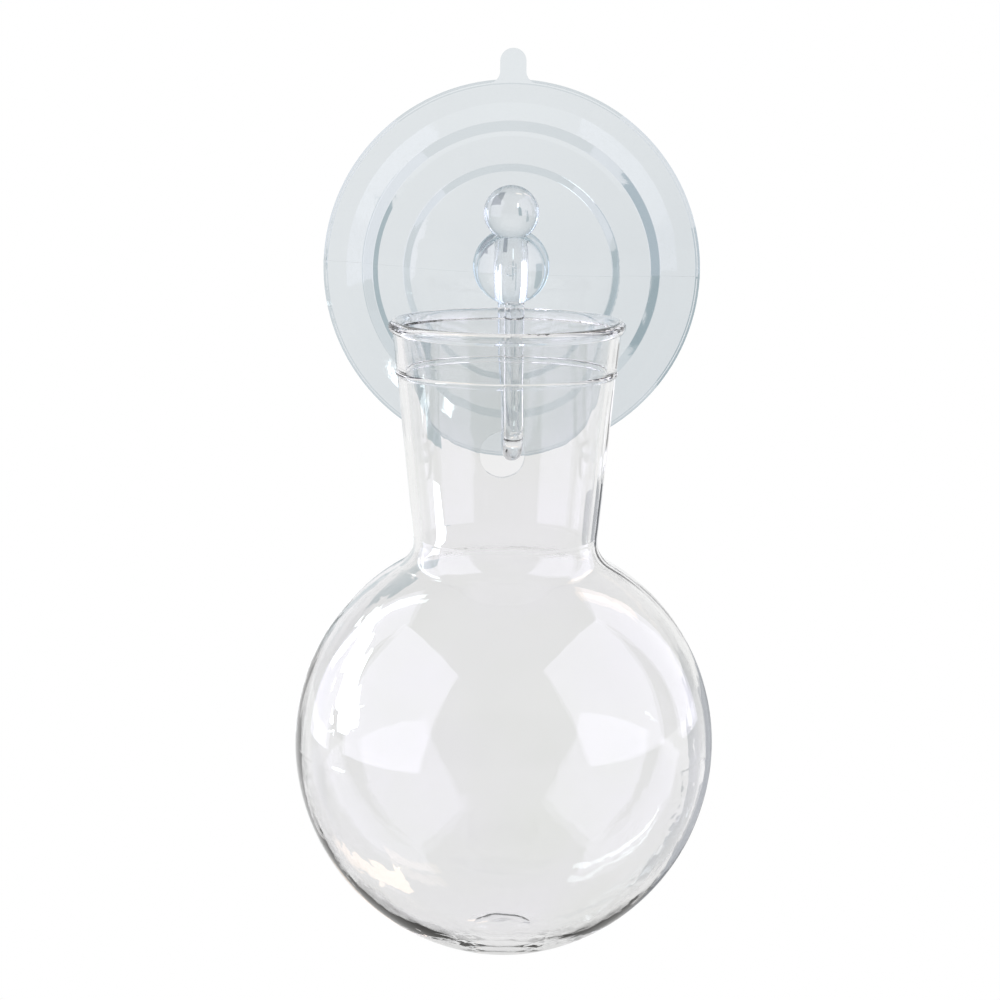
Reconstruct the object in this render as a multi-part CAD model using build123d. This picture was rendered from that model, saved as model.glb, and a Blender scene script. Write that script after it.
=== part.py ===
from build123d import *
import os
from math import asin, cos, degrees, radians, sin, sqrt

# A globe vase that hangs on a window: a suction cup grips the pane, a bent rod hangs in the
# cup's hub, and the vase hangs on the rod by a hole in the back of its neck.
# Frame: +X is to the right of someone facing the window, +Y points into the pane, +Z is up.
# The origin is the middle of the suction face. "Depth" is the distance in front of the pane, -Y.
# All sizes are in millimetres.

# ---- driving dimensions: suction cup ----
LIP_RADIUS = 32.0          # the cup's outside, a 64 mm cup
LIP_EDGE = 0.9             # height of the upright edge at the lip
LIP_BEVEL = 0.8            # bevel above that edge
SEAL_WIDTH = 4.0           # flat ring that lies on the pane
FLANGE_RADIUS = 25.2       # foot of the first step
FLANGE_DEPTH = 2.7
SHOULDER_RADIUS = 23.5     # head of the first step
SHOULDER_DEPTH = 4.3
CONE_RADIUS = 18.2         # foot of the second step
CONE_DEPTH = 5.9
DOME_RADIUS = 17.0         # head of the second step
DOME_EDGE_DEPTH = 7.3
DOME_DEPTH = 10.2          # depth of the dome over its middle
HOLLOW_DEPTH = 5.2         # the hollow behind the dome
HOLLOW_KNEE_RADIUS = 22.4
HOLLOW_KNEE_DEPTH = 2.2
STEP_ROUNDING = 0.45
TAB_WIDTH = 4.4            # pull tab at the top of the lip
TAB_LENGTH = 5.2
TAB_THICKNESS = 1.2
TAB_LIFT = 0.3             # the tab stands off the pane so that a finger gets under it
TAB_FLARE = 2.0
MOULD_LINE_HEIGHT = 0.22   # thin moulded line across the cup
MOULD_LINE_WIDTH = 0.32
MOULD_LINE_TILT = 2.0      # degrees

# ---- driving dimensions: hub ----
HUB_RADIUS = 5.7
HUB_RISE = 1.4             # the hub sits a little above the middle of the cup
HUB_DEPTH = 19.2
HUB_CROWN = 2.6            # height of the rounded front
HUB_FLARE = 0.2            # how far the hub's foot spreads beyond its side
HUB_FLARE_DEPTH = 11.8     # where the flare runs out into the hub's side
HUB_EDGE_ROUNDING = 1.5
PILOT_RADIUS = 0.8         # blind pilot hole in the hub's front
PILOT_LENGTH = 2.3
ROD_CLEARANCE = 0.05       # running fit of the rod in the hub
SEAT_CLEARANCE = 0.15      # between the ball and its seat

# ---- driving dimensions: hook ----
ROD_DEPTH = 14.0           # the rod's upright part, in front of the pane
SHANK_RADIUS = 2.2
TAIL_RADIUS = 1.65         # thinner, drawn-out end of the rod
TAPER_TO_BEND = 4.0        # straight run of the thin part above the bend
TAPER_LENGTH = 6.0
BALL_RADIUS = 4.6
BALL_SINK = 1.1            # how far the ball sits down into the hub
SWIVEL_LIMIT = 20.0        # degrees that the hook turns in the hub, each way
TIP_RISE = 1.5             # the front leg's end, above the vase's rim
TIP_CHAMFER = 0.25
LEG_GAP = 0.85             # from the front leg to the inside of the neck

# ---- driving dimensions: vase ----
VASE_HEIGHT = 102.9
GLOBE_RADIUS = 33.85
GLOBE_TO_FOOT = 34.2       # from the globe's widest level down to its foot
GLOBE_WALL = 1.2
BASE_THICKNESS = 2.0
FOOT_RADIUS = 6.2
PUNT_RADIUS = 5.0          # shallow hollow under the foot
PUNT_HEIGHT = 0.7
NECK_WALL = 1.4
WAIST_RADIUS = 14.5        # outside, where the neck meets the globe
NECK_TOP_RADIUS = 17.4     # outside, where the lip's flare begins
FLARE_DROP = 9.3           # from the rim down to the start of the flare
LIP_BEAD_RADIUS = 1.0      # rounded bead of the rim
RIM_RADIUS = 18.9          # outside of the bead
RING_DROP = 8.3            # fold line round the neck, below the rim
RING_PROUD = 0.3
WAIST_ROUNDING = 4.5
HOLE_RADIUS = 3.8          # hanging hole in the back of the neck
HOLE_DROP = 23.9           # from the rim down to the middle of the hole
HOLE_TURN = 3.0            # degrees that the hole is off to the left
VASE_SHIFT = -0.4          # the vase's axis, left of the hub's
RIM_TO_HUB_GAP = 0.4       # the rim hangs just under the hub
RIM_TO_ROD_GAP = 0.3       # and just in front of the rod
PANE_GAP = 0.1             # from the globe to the pane, with the hook turned to its limit
HANG_CLEARANCE = 0.3       # between the rod and the edge of the hole
ROD_LEAN = 67.6            # degrees from the hole's top to where the rod lies, to the right

# ---- places that follow from the sizes ----
flare_radius = HUB_RADIUS + HUB_FLARE
rim_top = HUB_RISE - HUB_RADIUS - RIM_TO_HUB_GAP
limit_shift = abs(VASE_SHIFT) * sin(radians(SWIVEL_LIMIT))
swing = (GLOBE_RADIUS + PANE_GAP - ROD_DEPTH + limit_shift) / cos(radians(SWIVEL_LIMIT))
vase_depth = ROD_DEPTH + max(SHANK_RADIUS + RIM_TO_ROD_GAP + RIM_RADIUS, swing)
ball_height = HUB_RISE + HUB_RADIUS + BALL_RADIUS - BALL_SINK
globe_drop = VASE_HEIGHT - GLOBE_TO_FOOT
waist_drop = globe_drop - sqrt(GLOBE_RADIUS**2 - WAIST_RADIUS**2)


def neck_outside(drop):
    """The straight neck's outside radius, a distance below the rim."""
    share = (waist_drop - drop) / (waist_drop - FLARE_DROP)
    return WAIST_RADIUS + share * (NECK_TOP_RADIUS - WAIST_RADIUS)


hole_height = rim_top - HOLE_DROP
wall_depth = vase_depth - neck_outside(HOLE_DROP) + NECK_WALL / 2
leg_spacing = wall_depth + NECK_WALL / 2 + LEG_GAP + TAIL_RADIUS - ROD_DEPTH
bend_radius = leg_spacing / 2
wall_reach = wall_depth - ROD_DEPTH - bend_radius
bend_lift = bend_radius - sqrt(bend_radius**2 - wall_reach**2)
tail_half_height = TAIL_RADIUS * bend_radius / sqrt(bend_radius**2 - wall_reach**2)
hole_x = VASE_SHIFT - (vase_depth - wall_depth) * sin(radians(HOLE_TURN))
hole_play = HOLE_RADIUS - tail_half_height - HANG_CLEARANCE
rod_x = hole_x + hole_play * sin(radians(ROD_LEAN))
rod_height = hole_height + hole_play * cos(radians(ROD_LEAN))
hook_turn = degrees(asin(rod_x / (wall_depth - ROD_DEPTH)))
bend_bottom = rod_height - bend_lift


def arc_middle(start, end, bulge):
    """The point that stands off the middle of a chord by bulge, to the left of its direction."""
    chord = Vector(*end) - Vector(*start)
    normal = Vector(-chord.Y, chord.X).normalized()
    return (Vector(*start) + Vector(*end)) * 0.5 + normal * bulge


def cup_shell():
    """The stepped dome and its hollow, turned about the cup's own axis."""
    front = Polyline(
        (LIP_RADIUS - SEAL_WIDTH, 0),
        (LIP_RADIUS, 0),
        (LIP_RADIUS, -LIP_EDGE),
        (LIP_RADIUS - LIP_BEVEL, -LIP_EDGE - LIP_BEVEL),
        (FLANGE_RADIUS, -FLANGE_DEPTH),
        (SHOULDER_RADIUS, -SHOULDER_DEPTH),
        (CONE_RADIUS, -CONE_DEPTH),
        (DOME_RADIUS, -DOME_EDGE_DEPTH),
    )
    dome_start, dome_end = (DOME_RADIUS, -DOME_EDGE_DEPTH), (0, -DOME_DEPTH)
    dome = ThreePointArc(dome_start, arc_middle(dome_start, dome_end, 0.9), dome_end)
    middle = Line(dome_end, (0, -HOLLOW_DEPTH))
    knee = (HOLLOW_KNEE_RADIUS, -HOLLOW_KNEE_DEPTH)
    hollow = ThreePointArc(
        (0, -HOLLOW_DEPTH), arc_middle((0, -HOLLOW_DEPTH), knee, -0.7), knee
    )
    throat = Line(knee, (LIP_RADIUS - SEAL_WIDTH, 0))
    section = make_face(Wire([*front.edges(), dome, middle, hollow, throat]))
    steps = [
        v
        for v in section.vertices()
        if CONE_RADIUS - 2 < v.X < FLANGE_RADIUS + 1 and v.Y <= -FLANGE_DEPTH
    ]
    return revolve(fillet(steps, STEP_ROUNDING), Axis.Y)


def pull_tab():
    """The tab and the ring of lip it grows from, with its root flared into the ring."""
    reach = LIP_RADIUS + TAB_LENGTH
    ring_radius = LIP_RADIUS - LIP_BEVEL / 2
    outline = Circle(ring_radius) + Pos(0, reach / 2) * Rectangle(TAB_WIDTH, reach)
    tip = outline.vertices().group_by(Axis.Y)[-1]
    outline = fillet(tip, TAB_WIDTH * 0.49)
    roots = [v for v in outline.vertices() if v.Y > ring_radius * 0.9 and v.Y < LIP_RADIUS]
    outline = fillet(roots, TAB_FLARE)
    outline -= Circle(LIP_RADIUS - SEAL_WIDTH * 0.7)
    # the sketch's own Z becomes depth, so the tab is drawn as seen from in front of the pane
    return Plane.XZ.offset(TAB_LIFT) * extrude(outline, TAB_THICKNESS)


def mould_line(shell):
    """A thin raised line across the cup, broken round the hub."""
    width = 2 * LIP_RADIUS + 2
    slab = Rot(0, MOULD_LINE_TILT, 0) * Box(width, 2 * HUB_DEPTH, MOULD_LINE_WIDTH)
    hub_room = Pos(0, 0, HUB_RISE) * Rot(90, 0, 0) * Cylinder(flare_radius, 4 * HUB_DEPTH)
    return Pos(0, -MOULD_LINE_HEIGHT, 0) * shell & (slab - hub_room)


def hub():
    """The flared boss with a rounded front, turned about its own raised axis."""
    root = -DOME_DEPTH * 0.8
    crown_base = -HUB_DEPTH + HUB_CROWN
    flare_start, flare_end = (flare_radius, root), (HUB_RADIUS, -HUB_FLARE_DEPTH)
    crown_start, crown_end = (HUB_RADIUS, crown_base), (0, -HUB_DEPTH)
    crown_radius = (HUB_RADIUS**2 + HUB_CROWN**2) / (2 * HUB_CROWN)
    crown_half = asin(HUB_RADIUS / crown_radius) / 2
    crown_middle = (
        crown_radius * sin(crown_half),
        -HUB_DEPTH + crown_radius * (1 - cos(crown_half)),
    )
    edges = [
        Line((0, root), flare_start),
        ThreePointArc(flare_start, arc_middle(flare_start, flare_end, 0.6), flare_end),
        Line(flare_end, crown_start),
        ThreePointArc(crown_start, crown_middle, crown_end),
        Line(crown_end, (0, root)),
    ]
    section = make_face(Wire(edges))
    edge = section.vertices().sort_by_distance(crown_start)[0]
    section = fillet(edge, HUB_EDGE_ROUNDING)
    return Pos(0, 0, HUB_RISE) * revolve(section, Axis.Y)


def suction_cup():
    shell = cup_shell()
    cup = shell + hub() + pull_tab() + mould_line(shell)
    rod_hole = Pos(0, -ROD_DEPTH, HUB_RISE) * Cylinder(
        SHANK_RADIUS + ROD_CLEARANCE, 4 * HUB_RADIUS
    )
    ball_seat = Pos(0, -ROD_DEPTH, ball_height) * Sphere(BALL_RADIUS + SEAT_CLEARANCE)
    pilot = Pos(0, -HUB_DEPTH, HUB_RISE) * Rot(90, 0, 0) * Cylinder(
        PILOT_RADIUS, 2 * PILOT_LENGTH
    )
    return cup - rod_hole - ball_seat - pilot


def glass_hook():
    """Ball, shank and drawn-out tail that turns forward and up into the neck."""
    taper_end = bend_bottom + bend_radius + TAPER_TO_BEND
    taper_start = taper_end + TAPER_LENGTH
    ball_foot = ball_height - sqrt(BALL_RADIUS**2 - SHANK_RADIUS**2)
    ball_top = ball_height + BALL_RADIUS
    edges = [
        ThreePointArc((0, ball_top), (BALL_RADIUS, ball_height), (SHANK_RADIUS, ball_foot)),
        Line((SHANK_RADIUS, ball_foot), (SHANK_RADIUS, taper_start)),
        Line((SHANK_RADIUS, taper_start), (TAIL_RADIUS, taper_end)),
        Line((TAIL_RADIUS, taper_end), (0, taper_end)),
        Line((0, taper_end), (0, ball_top)),
    ]
    shank = revolve(Plane.XZ * make_face(Wire(edges)), Axis.Z)
    bend_top = bend_bottom + bend_radius
    back, front = (0, 0, bend_top), (0, -leg_spacing, bend_top)
    path = Wire(
        [
            Line((0, 0, taper_end), back),
            ThreePointArc(back, (0, -bend_radius, bend_bottom), front),
            Line(front, (0, -leg_spacing, rim_top + TIP_RISE)),
        ]
    )
    tail = sweep(Plane(origin=path @ 0, z_dir=path % 0) * Circle(TAIL_RADIUS), path=path)
    tail = chamfer(tail.edges().group_by(Axis.Z)[-1], TIP_CHAMFER)
    return Pos(0, -ROD_DEPTH, 0) * Rot(0, 0, hook_turn) * (shank + tail)


def vase_body(wall_in):
    """The vase's outside as a closed solid, or its inside when wall_in is true."""
    foot = -VASE_HEIGHT
    globe = -globe_drop
    if wall_in:
        radius, waist = GLOBE_RADIUS - GLOBE_WALL, WAIST_RADIUS - NECK_WALL
        neck_top, mouth = NECK_TOP_RADIUS - NECK_WALL, RIM_RADIUS - 2 * LIP_BEAD_RADIUS
        foot, mouth_height = foot + BASE_THICKNESS, 2 * LIP_BEAD_RADIUS
    else:
        radius, waist = GLOBE_RADIUS, WAIST_RADIUS
        neck_top, mouth = NECK_TOP_RADIUS, RIM_RADIUS - LIP_BEAD_RADIUS * 0.6
        mouth_height = -LIP_BEAD_RADIUS
    foot_radius = FOOT_RADIUS * (0.6 if wall_in else 1)
    junction = (waist, globe + sqrt(radius**2 - waist**2))
    flare = (neck_top, -FLARE_DROP)
    edges = [
        Line((0, foot), (foot_radius, foot)),
        TangentArc((radius, globe), (foot_radius, foot), tangent=(0, -1)),
        TangentArc((radius, globe), junction, tangent=(0, 1)),
        Line(junction, flare),
        Line(flare, (mouth, -LIP_BEAD_RADIUS)),
    ]
    if wall_in:
        edges.append(Line((mouth, -LIP_BEAD_RADIUS), (mouth, mouth_height)))
    edges.append(Line((mouth, mouth_height), (0, mouth_height)))
    edges.append(Line((0, mouth_height), (0, foot)))
    section = make_face(Wire(edges))
    waist_corner = section.vertices().sort_by_distance(junction)[0]
    rounding = WAIST_ROUNDING + (NECK_WALL if wall_in else 0)
    section = fillet(waist_corner, rounding)
    flare_corner = section.vertices().sort_by_distance(flare)[0]
    section = fillet(flare_corner, 2 * WAIST_ROUNDING)
    return revolve(Plane.XZ * section, Axis.Z)


def vase():
    bead = Pos(0, 0, -LIP_BEAD_RADIUS) * Torus(RIM_RADIUS - LIP_BEAD_RADIUS, LIP_BEAD_RADIUS)
    ring_radius = 2 * RING_PROUD
    flare_share = (FLARE_DROP - RING_DROP) / (FLARE_DROP - LIP_BEAD_RADIUS)
    ring_side = NECK_TOP_RADIUS + flare_share * (RIM_RADIUS - NECK_TOP_RADIUS - LIP_BEAD_RADIUS)
    ring = Pos(0, 0, -RING_DROP) * Torus(ring_side - RING_PROUD, ring_radius)
    glass = vase_body(False) + ring - vase_body(True) + bead
    punt_sphere = (PUNT_RADIUS**2 + PUNT_HEIGHT**2) / (2 * PUNT_HEIGHT)
    glass -= Pos(0, 0, -VASE_HEIGHT + PUNT_HEIGHT - punt_sphere) * Sphere(punt_sphere)
    drill = Pos(0, vase_depth - wall_depth, -HOLE_DROP) * Rot(90, 0, 0) * Cylinder(
        HOLE_RADIUS, 10 * NECK_WALL
    )
    glass -= Rot(0, 0, HOLE_TURN) * drill
    return Pos(VASE_SHIFT, -vase_depth, rim_top) * glass


NODES = {
    "suction_cup": suction_cup,
    "glass_hook": glass_hook,
    "vase": vase,
}

os.makedirs("parts", exist_ok=True)
for name, make in NODES.items():
    export_step(make(), f"parts/{name}.step")
print("vase axis depth", round(vase_depth, 3), "rim top", round(rim_top, 3))
print("rod in the hole", round(rod_x, 3), round(-wall_depth, 3), round(rod_height, 3))
print("hole", round(hole_x, 3), round(hole_height, 3), "bend", round(bend_radius, 3))
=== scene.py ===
from math import cos, hypot, pi, radians, sin

import bpy
from mathutils import Matrix, Vector


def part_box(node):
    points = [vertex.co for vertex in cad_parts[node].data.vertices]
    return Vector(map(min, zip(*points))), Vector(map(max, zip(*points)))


# A glass globe vase that hangs on a window from a suction cup and a bent glass rod.
# The frame is the CAD model's: metres, +X right, +Y into the pane, +Z up.

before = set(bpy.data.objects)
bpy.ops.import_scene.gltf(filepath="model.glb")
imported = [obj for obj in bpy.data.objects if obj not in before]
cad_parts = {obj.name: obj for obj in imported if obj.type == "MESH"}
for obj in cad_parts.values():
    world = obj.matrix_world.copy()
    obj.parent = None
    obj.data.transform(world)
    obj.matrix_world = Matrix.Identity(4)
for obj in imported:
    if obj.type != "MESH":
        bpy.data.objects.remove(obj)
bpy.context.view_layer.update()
scene = bpy.context.scene

SHARP_EDGE = radians(32)   # edges sharper than this stay crisp
GLASS_IOR = 1.47
PVC_IOR = 1.52
WETTED_IOR = 1.01          # so near to 1 that the light hardly bends
PVC_ROUGHNESS = 0.03
WALL_BOUNCES = 20          # faces that the light inside a glass wall may meet


# ---- node helpers ----
class Nodes:
    """A short way to add and join the nodes of one tree."""

    def __init__(self, tree):
        self.tree = tree

    def add(self, kind, settings=None, **sockets):
        node = self.tree.nodes.new(kind)
        for name, value in (settings or {}).items():
            setattr(node, name, value)
        for name, value in sockets.items():
            self.feed(node.inputs[name.replace("_", " ")], value)
        return node

    def feed(self, socket, value):
        if isinstance(value, bpy.types.NodeSocket):
            self.tree.links.new(value, socket)
        else:
            socket.default_value = value

    def noise(self, vector, scale, detail=2.0, roughness=0.5):
        return self.add("ShaderNodeTexNoise", Vector=vector, Scale=scale, Detail=detail,
                        Roughness=roughness).outputs["Fac"]

    def ramp(self, factor, stops):
        """A colour ramp; stops are (position, linear colour)."""
        node = self.add("ShaderNodeValToRGB", Fac=factor)
        elements = node.color_ramp.elements
        while len(elements) < len(stops):
            elements.new(0.5)
        for element, (position, colour) in zip(elements, stops):
            element.position = position
            element.color = (*colour, 1.0)
        return node.outputs["Color"]

    def math(self, operation, first, second=0.0, clamp=False):
        node = self.add("ShaderNodeMath", {"operation": operation, "use_clamp": clamp})
        self.feed(node.inputs[0], first)
        self.feed(node.inputs[1], second)
        return node.outputs[0]

    def map_range(self, value, low, high, to_low=0.0, to_high=1.0):
        node = self.add("ShaderNodeMapRange", Value=value, From_Min=low, From_Max=high,
                        To_Min=to_low, To_Max=to_high)
        return node.outputs["Result"]

    def mix(self, factor, first, second, blend="MIX"):
        node = self.add("ShaderNodeMix", {"data_type": "RGBA", "blend_type": blend})
        self.feed(node.inputs["Factor"], factor)
        for socket, value in ((node.inputs[6], first), (node.inputs[7], second)):
            if isinstance(value, tuple):
                value = (*value, 1.0)
            self.feed(socket, value)
        return node.outputs[2]

    def bump(self, height, distance, strength=1.0, normal=None):
        node = self.add("ShaderNodeBump", Height=height, Distance=distance, Strength=strength)
        if normal is not None:
            self.feed(node.inputs["Normal"], normal)
        return node.outputs["Normal"]

    def stretched(self, vector, scale):
        """The coordinates scaled by axis, so that a noise runs in streaks."""
        return self.add("ShaderNodeMapping", Vector=vector, Scale=scale).outputs["Vector"]


def clear_material(name, ior, roughness):
    """A clear material: its nodes, its shader and its object coordinates."""
    material = bpy.data.materials.new(name)
    material.use_nodes = True
    nodes = Nodes(material.node_tree)
    shader = material.node_tree.nodes["Principled BSDF"]
    shader.inputs["Transmission Weight"].default_value = 1.0
    shader.inputs["IOR"].default_value = ior
    shader.inputs["Roughness"].default_value = roughness
    place = nodes.add("ShaderNodeTexCoord").outputs["Object"]
    return material, nodes, shader, place


def painted_rim_shade(nodes, body, rim_shade, start, full):
    """Painted shade: the tint darkens where the wall is seen edge-on, to draw dark outlines at the
    rims.
    """
    facing = nodes.add("ShaderNodeLayerWeight", Blend=0.5).outputs["Facing"]
    return nodes.mix(nodes.map_range(facing, start, full), body, rim_shade)


# ---- materials ----
VASE_WARM, VASE_COOL = (0.905, 0.910, 0.900), (0.925, 0.920, 0.935)
# painted shade for the vase's rims, where a wall is seen edge-on
VASE_EDGE_SHADE = (0.82, 0.83, 0.85)
WAVE_DEPTH, VASE_STREAK_DEPTH = 0.0006, 0.00006
ROD_GREY, ROD_CLEAR = (0.90, 0.91, 0.92), (0.95, 0.95, 0.95)
# painted shade for the rod's rims, where it is seen edge-on
ROD_EDGE_SHADE = (0.45, 0.47, 0.50)
ROD_LINE_DEPTH = 0.00005
# the PVC's tint from light to deep; painted shade and a random cloud choose between them
PVC_LIGHT, PVC_DEEP = (0.83, 0.865, 0.885), (0.70, 0.745, 0.775)
# painted shade for the PVC's rims, where a wall is seen edge-on
PVC_EDGE_SHADE = (0.22, 0.33, 0.39)
PVC_FLOW_DEPTH, PVC_GRAIN_DEPTH = 0.00012, 0.000006
CUP_REACH, CUP_TOP = 0.034, 0.030   # the painted shade on the PVC changes between these places
DOWN_SHADE_SHARE, RIGHT_SHADE_SHARE, CLOUD_SHARE = 0.45, 0.3, 0.25   # what the tint's depth is made of: painted shade downwards, painted shade to the right, random cloud


def blown_glass():
    """Thin blown glass: barely tinted, with slow waves and drawn-out streaks."""
    material, nodes, shader, place = clear_material("vase_glass", GLASS_IOR, 0.0)
    cloud = nodes.noise(place, 38.0, 3.0)
    body = nodes.ramp(cloud, [(0.35, VASE_WARM), (0.65, VASE_COOL)])
    # painted shade on the rims, where the wall is seen edge-on
    colour = painted_rim_shade(nodes, body, VASE_EDGE_SHADE, 0.90, 1.0)
    nodes.feed(shader.inputs["Base Color"], colour)
    waves = nodes.noise(place, 26.0, 1.0)
    streaks = nodes.noise(nodes.stretched(place, (150.0, 150.0, 14.0)), 1.0, 2.0)
    normal = nodes.bump(waves, WAVE_DEPTH)
    nodes.feed(shader.inputs["Normal"], nodes.bump(streaks, VASE_STREAK_DEPTH, normal=normal))
    return material


def rod_glass():
    """Drawn glass rod: clear, with fine lines along its length."""
    material, nodes, shader, place = clear_material("rod_glass", GLASS_IOR, 0.0)
    cloud = nodes.noise(place, 90.0)
    body = nodes.ramp(cloud, [(0.3, ROD_GREY), (0.7, ROD_CLEAR)])
    # painted shade on the rims, where the rod is seen edge-on
    colour = painted_rim_shade(nodes, body, ROD_EDGE_SHADE, 0.45, 0.95)
    nodes.feed(shader.inputs["Base Color"], colour)
    lines = nodes.noise(nodes.stretched(place, (900.0, 900.0, 60.0)), 1.0)
    nodes.feed(shader.inputs["Normal"], nodes.bump(lines, ROD_LINE_DEPTH))
    return material


def moulded_pvc():
    """Soft clear PVC: blue-grey, cloudy, with painted shade a touch deeper towards the bottom and
    the right.
    """
    material, nodes, shader, place = clear_material("clear_pvc", PVC_IOR, PVC_ROUGHNESS)
    axes = nodes.add("ShaderNodeSeparateXYZ", Vector=place)
    # painted shade, deeper towards the bottom and towards the right
    shade_down = nodes.map_range(axes.outputs["Z"], CUP_TOP, -CUP_REACH)
    shade_right = nodes.map_range(axes.outputs["X"], -CUP_REACH, CUP_REACH)
    cloud = nodes.noise(place, 60.0, 3.0, 0.6)
    shade_down_part = nodes.math("MULTIPLY", shade_down, DOWN_SHADE_SHARE)
    shade_right_part = nodes.math("MULTIPLY", shade_right, RIGHT_SHADE_SHARE)
    shade_and_cloud = nodes.math("ADD", shade_down_part, shade_right_part)
    shade_and_cloud = nodes.math("ADD", shade_and_cloud, nodes.math("MULTIPLY", cloud, CLOUD_SHARE), clamp=True)
    body = nodes.ramp(shade_and_cloud, [(0.1, PVC_LIGHT), (0.9, PVC_DEEP)])
    # painted shade on the rims, where the wall is seen edge-on
    colour = painted_rim_shade(nodes, body, PVC_EDGE_SHADE, 0.06, 0.75)
    nodes.feed(shader.inputs["Base Color"], colour)
    grain = nodes.noise(place, 900.0, 3.0)
    flow = nodes.noise(place, 120.0, 2.0)
    nodes.feed(shader.inputs["Roughness"], nodes.map_range(grain, 0.3, 0.7, 0.02, 0.07))
    normal = nodes.bump(flow, PVC_FLOW_DEPTH)
    nodes.feed(shader.inputs["Normal"], nodes.bump(grain, PVC_GRAIN_DEPTH, normal=normal))
    return material


def dress(node, material):
    """Give a CAD node its material and smooth shading."""
    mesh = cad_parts[node].data
    mesh.materials.clear()
    mesh.materials.append(material)
    mesh.polygons.foreach_set("use_smooth", [True] * len(mesh.polygons))
    mesh.set_sharp_from_angle(angle=SHARP_EDGE)


BORE_AXIS = (0.0, -0.014)  # the hub's hole in plan
BORE_REACH = 0.00235       # anything nearer to the axis than this is the hole's wall
BORE_HEIGHTS = (-0.0045, 0.0072)   # lowest and highest part of that wall


def wetted_bore():
    """The wall of the hub's hole, shown as if wetted by the rod: it hardly bends the light."""
    material, nodes, shader, place = clear_material("bore_wall", WETTED_IOR, 0.0)
    cling = nodes.noise(place, 300.0)
    body = nodes.ramp(cling, [(0.3, (0.96, 0.97, 0.98)), (0.7, (0.99, 0.99, 0.99))])
    nodes.feed(shader.inputs["Base Color"], body)
    nodes.feed(shader.inputs["Normal"], nodes.bump(cling, 0.00001))
    return material


def line_bore(material):
    """Put the bore's material on the faces of the hub's hole."""
    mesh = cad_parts["suction_cup"].data
    mesh.materials.append(material)
    low, high = BORE_HEIGHTS
    for face in mesh.polygons:
        x, y, z = face.center
        if low < z < high and hypot(x - BORE_AXIS[0], y - BORE_AXIS[1]) < BORE_REACH:
            face.material_index = 1


dress("vase", blown_glass())
dress("glass_hook", rod_glass())
dress("suction_cup", moulded_pvc())
line_bore(wetted_bore())


# ---- stage ----
FLOOR_DROP = 0.16          # floor below the vase's foot
FLOOR_HALF = 6.0
FLOOR_BRIGHTENS = (0.08, 0.40)        # behind the pane, from near to far
FLOOR_THROUGH = (0.96, 0.96, 0.96)    # the floor as seen through the glass
FLOOR_NEAR = (0.38, 0.375, 0.36)      # in reflections, in front of the object
FLOOR_FAR = (0.92, 0.92, 0.92)        # in reflections, well behind it


def white_floor(level):
    """A wide plain floor that reads as pure white."""
    mesh = bpy.data.meshes.new("floor")
    corners = [(x, y, level) for x, y in ((-1, -1), (1, -1), (1, 1), (-1, 1))]
    corners = [(x * FLOOR_HALF, y * FLOOR_HALF, z) for x, y, z in corners]
    mesh.from_pydata(corners, [], [(0, 1, 2, 3)])
    floor = bpy.data.objects.new("floor", mesh)
    scene.collection.objects.link(floor)
    material = bpy.data.materials.new("floor_paint")
    material.use_nodes = True
    shader = material.node_tree.nodes["Principled BSDF"]
    shader.inputs["Base Color"].default_value = (0.0, 0.0, 0.0, 1.0)
    shader.inputs["Roughness"].default_value = 1.0
    shader.inputs["Specular IOR Level"].default_value = 0.0
    nodes = Nodes(material.node_tree)
    place = nodes.add("ShaderNodeTexCoord").outputs["Object"]
    axes = nodes.add("ShaderNodeSeparateXYZ", Vector=place)
    behind = nodes.map_range(axes.outputs["Y"], *FLOOR_BRIGHTENS)
    mirrored = nodes.mix(behind, FLOOR_NEAR, FLOOR_FAR)
    path = nodes.add("ShaderNodeLightPath")
    glow = nodes.mix(path.outputs["Is Transmission Ray"], mirrored, FLOOR_THROUGH)
    glow = nodes.mix(path.outputs["Is Camera Ray"], glow, (1.0, 1.0, 1.0))
    nodes.feed(shader.inputs["Emission Color"], glow)
    shader.inputs["Emission Strength"].default_value = 1.0
    mesh.materials.append(material)


vase_low, vase_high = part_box("vase")
vase_middle = (vase_low + vase_high) / 2
white_floor(vase_low.z - FLOOR_DROP)


# ---- light ----
# Ramps as (position, colour). Through the glass the position is the direction, from 0 straight
# behind the object to 1 on the camera's side; the room's haze follows a noise.
THROUGH_GLASS = [(0.0, (1.0, 1.0, 1.0)), (0.06, (0.98, 0.98, 0.98)), (0.25, (0.80, 0.80, 0.81)),
                 (0.50, (0.74, 0.74, 0.75)), (1.0, (0.82, 0.82, 0.82))]
ROOM_HAZE = [(0.35, (0.16, 0.16, 0.17)), (0.65, (0.42, 0.41, 0.40))]
BACKDROP = (0.92, 0.92, 0.93)
BACKDROP_BEGINS = (0.60, 0.95)   # the share of a direction that points into the pane


def studio_world():
    """Soft surroundings: white to the camera, light grey through glass, darker in reflections."""
    world = bpy.data.worlds.new("studio")
    world.use_nodes = True
    scene.world = world
    nodes = Nodes(world.node_tree)
    direction = nodes.add("ShaderNodeTexCoord").outputs["Generated"]
    axes = nodes.add("ShaderNodeSeparateXYZ", Vector=direction)
    haze = nodes.noise(direction, 1.7, 2.0)
    away = nodes.map_range(axes.outputs["Y"], 1.0, -1.0)
    through = nodes.ramp(away, THROUGH_GLASS)
    room = nodes.ramp(haze, ROOM_HAZE)
    behind = nodes.map_range(axes.outputs["Y"], *BACKDROP_BEGINS)
    mirrored = nodes.mix(behind, room, BACKDROP)
    path = nodes.add("ShaderNodeLightPath")
    surround = nodes.mix(path.outputs["Is Transmission Ray"], mirrored, through)
    seen = nodes.mix(path.outputs["Is Camera Ray"], surround, (1.0, 1.0, 1.0))
    background = world.node_tree.nodes["Background"]
    nodes.feed(background.inputs["Color"], seen)


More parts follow.
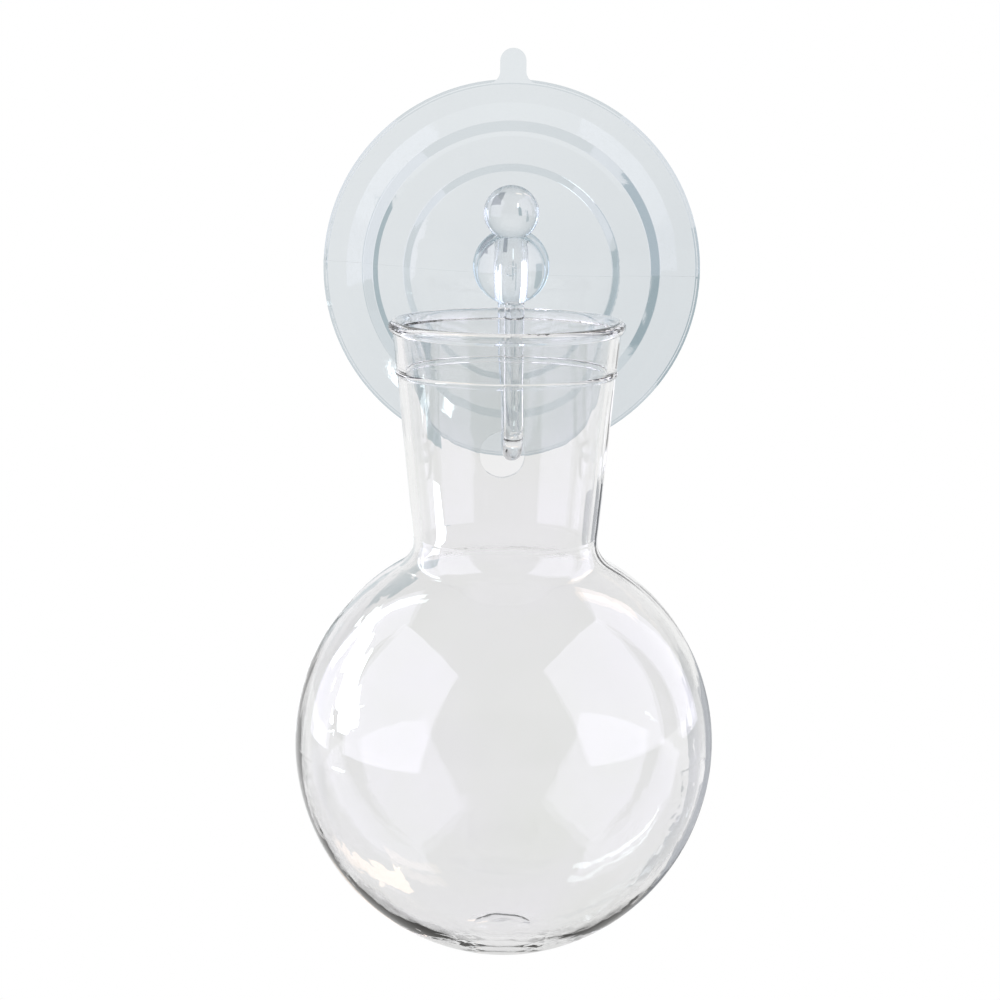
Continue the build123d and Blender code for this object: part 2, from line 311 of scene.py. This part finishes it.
def grey_card(name, centre, width, height, colour):
    """A card behind the object that the camera doesn't see; it shows only in the clear pieces."""
    mesh = bpy.data.meshes.new(name)
    corners = [(-1, 0, -1), (1, 0, -1), (1, 0, 1), (-1, 0, 1)]
    mesh.from_pydata([(x * width / 2, 0, z * height / 2) for x, _, z in corners], [], [(0, 1, 2, 3)])
    card = bpy.data.objects.new(name, mesh)
    scene.collection.objects.link(card)
    card.location = centre
    card.rotation_euler = (Vector(centre) - vase_middle).to_track_quat("Y", "Z").to_euler()
    card.visible_camera = False
    material = bpy.data.materials.new(name)
    material.use_nodes = True
    shader = material.node_tree.nodes["Principled BSDF"]
    shader.inputs["Base Color"].default_value = (0.0, 0.0, 0.0, 1.0)
    shader.inputs["Specular IOR Level"].default_value = 0.0
    shader.inputs["Emission Color"].default_value = (*colour, 1.0)
    shader.inputs["Emission Strength"].default_value = 1.0
    mesh.materials.append(material)


def softbox(name, azimuth, elevation, distance, width, height, radiance, colour):
    """A flat soft light that faces the vase; azimuth is to the right of the camera's side."""
    turn, lift = radians(azimuth), radians(elevation)
    ray = Vector((sin(turn) * cos(lift), -cos(turn) * cos(lift), sin(lift)))
    light = bpy.data.lights.new(name, "AREA")
    light.shape = "RECTANGLE"
    light.size, light.size_y = width, height
    light.energy = radiance * pi * width * height
    light.color = colour
    lamp = bpy.data.objects.new(name, light)
    scene.collection.objects.link(lamp)
    lamp.location = vase_middle + ray * distance
    lamp.rotation_euler = (-ray).to_track_quat("-Z", "Y").to_euler()
    lamp.visible_camera = False


LILAC = (0.85, 0.82, 1.0)
ICE = (0.85, 0.97, 1.0)
PEACH = (1.0, 0.72, 0.50)
SOFTBOXES = {   # azimuth and elevation in degrees, distance, width, height, radiance, colour
    "left_window": (-70, 22, 1.0, 1.05, 1.15, 1.85, LILAC),
    "left_far_window": (-120, 20, 1.0, 0.42, 1.1, 1.4, LILAC),
    "left_strip": (-129, 30, 0.9, 0.05, 0.70, 5.0, ICE),
    "left_glint": (-99, -18, 0.9, 0.16, 0.16, 5.0, ICE),
    "streak": (-171.6, -12.0, 0.77, 0.028, 0.10, 1.4, ICE),
    "right_window": (72, 26, 1.0, 1.05, 1.15, 1.6, LILAC),
    "right_far_window": (124, 22, 1.0, 0.40, 1.1, 1.3, LILAC),
    "warm_strip": (134, 40, 0.9, 0.10, 0.40, 1.6, PEACH),
    "warm_low": (-166, -30, 0.36, 0.07, 0.025, 0.5, PEACH),
}
GREY_CARDS = {   # centre, width, height, colour
    "step_flag": ((-0.110, 0.72, -0.075), 0.055, 0.15, (0.50, 0.58, 0.61)),
    "dome_flag": ((-0.270, 0.72, -0.02), 0.070, 0.25, (0.64, 0.70, 0.72)),
    "globe_flag": ((0.140, 0.25, -0.18), 0.13, 0.17, (0.48, 0.50, 0.53)),
}
studio_world()
for name, settings in SOFTBOXES.items():
    softbox(name, *settings)
for name, settings in GREY_CARDS.items():
    grey_card(name, *settings)


# ---- camera ----
CAMERA_PLACE = (0.00334, -0.5, 0.0497)   # angles below in radians
CAMERA_YAW, CAMERA_PITCH, CAMERA_ROLL = 0.0100, -0.1776, 0.0081
SENSOR = 36.0
FOCAL_SHARE = 2.9417       # focal length over the picture's width


def photo_camera():
    """The camera at the photograph's angle, aimed by yaw and pitch and then rolled."""
    data = bpy.data.cameras.new("camera")
    data.sensor_width = SENSOR
    data.lens = SENSOR * FOCAL_SHARE
    data.clip_start = 0.01
    camera = bpy.data.objects.new("camera", data)
    scene.collection.objects.link(camera)
    level = cos(CAMERA_PITCH)
    forward = Vector((-sin(CAMERA_YAW) * level, cos(CAMERA_YAW) * level, sin(CAMERA_PITCH)))
    right = Vector((cos(CAMERA_YAW), sin(CAMERA_YAW), 0.0))
    up = right.cross(forward)
    tilted_right = right * cos(CAMERA_ROLL) + up * sin(CAMERA_ROLL)
    tilted_up = up * cos(CAMERA_ROLL) - right * sin(CAMERA_ROLL)
    turn = Matrix((tilted_right, tilted_up, -forward)).transposed()
    camera.matrix_world = Matrix.Translation(CAMERA_PLACE) @ turn.to_4x4()
    scene.camera = camera


photo_camera()
scene.view_settings.view_transform = "Standard"

# Light that runs along inside the glass walls meets many faces before it comes out.
scene.cycles.max_bounces = 2 * WALL_BOUNCES
scene.cycles.glossy_bounces = WALL_BOUNCES
scene.cycles.transmission_bounces = WALL_BOUNCES
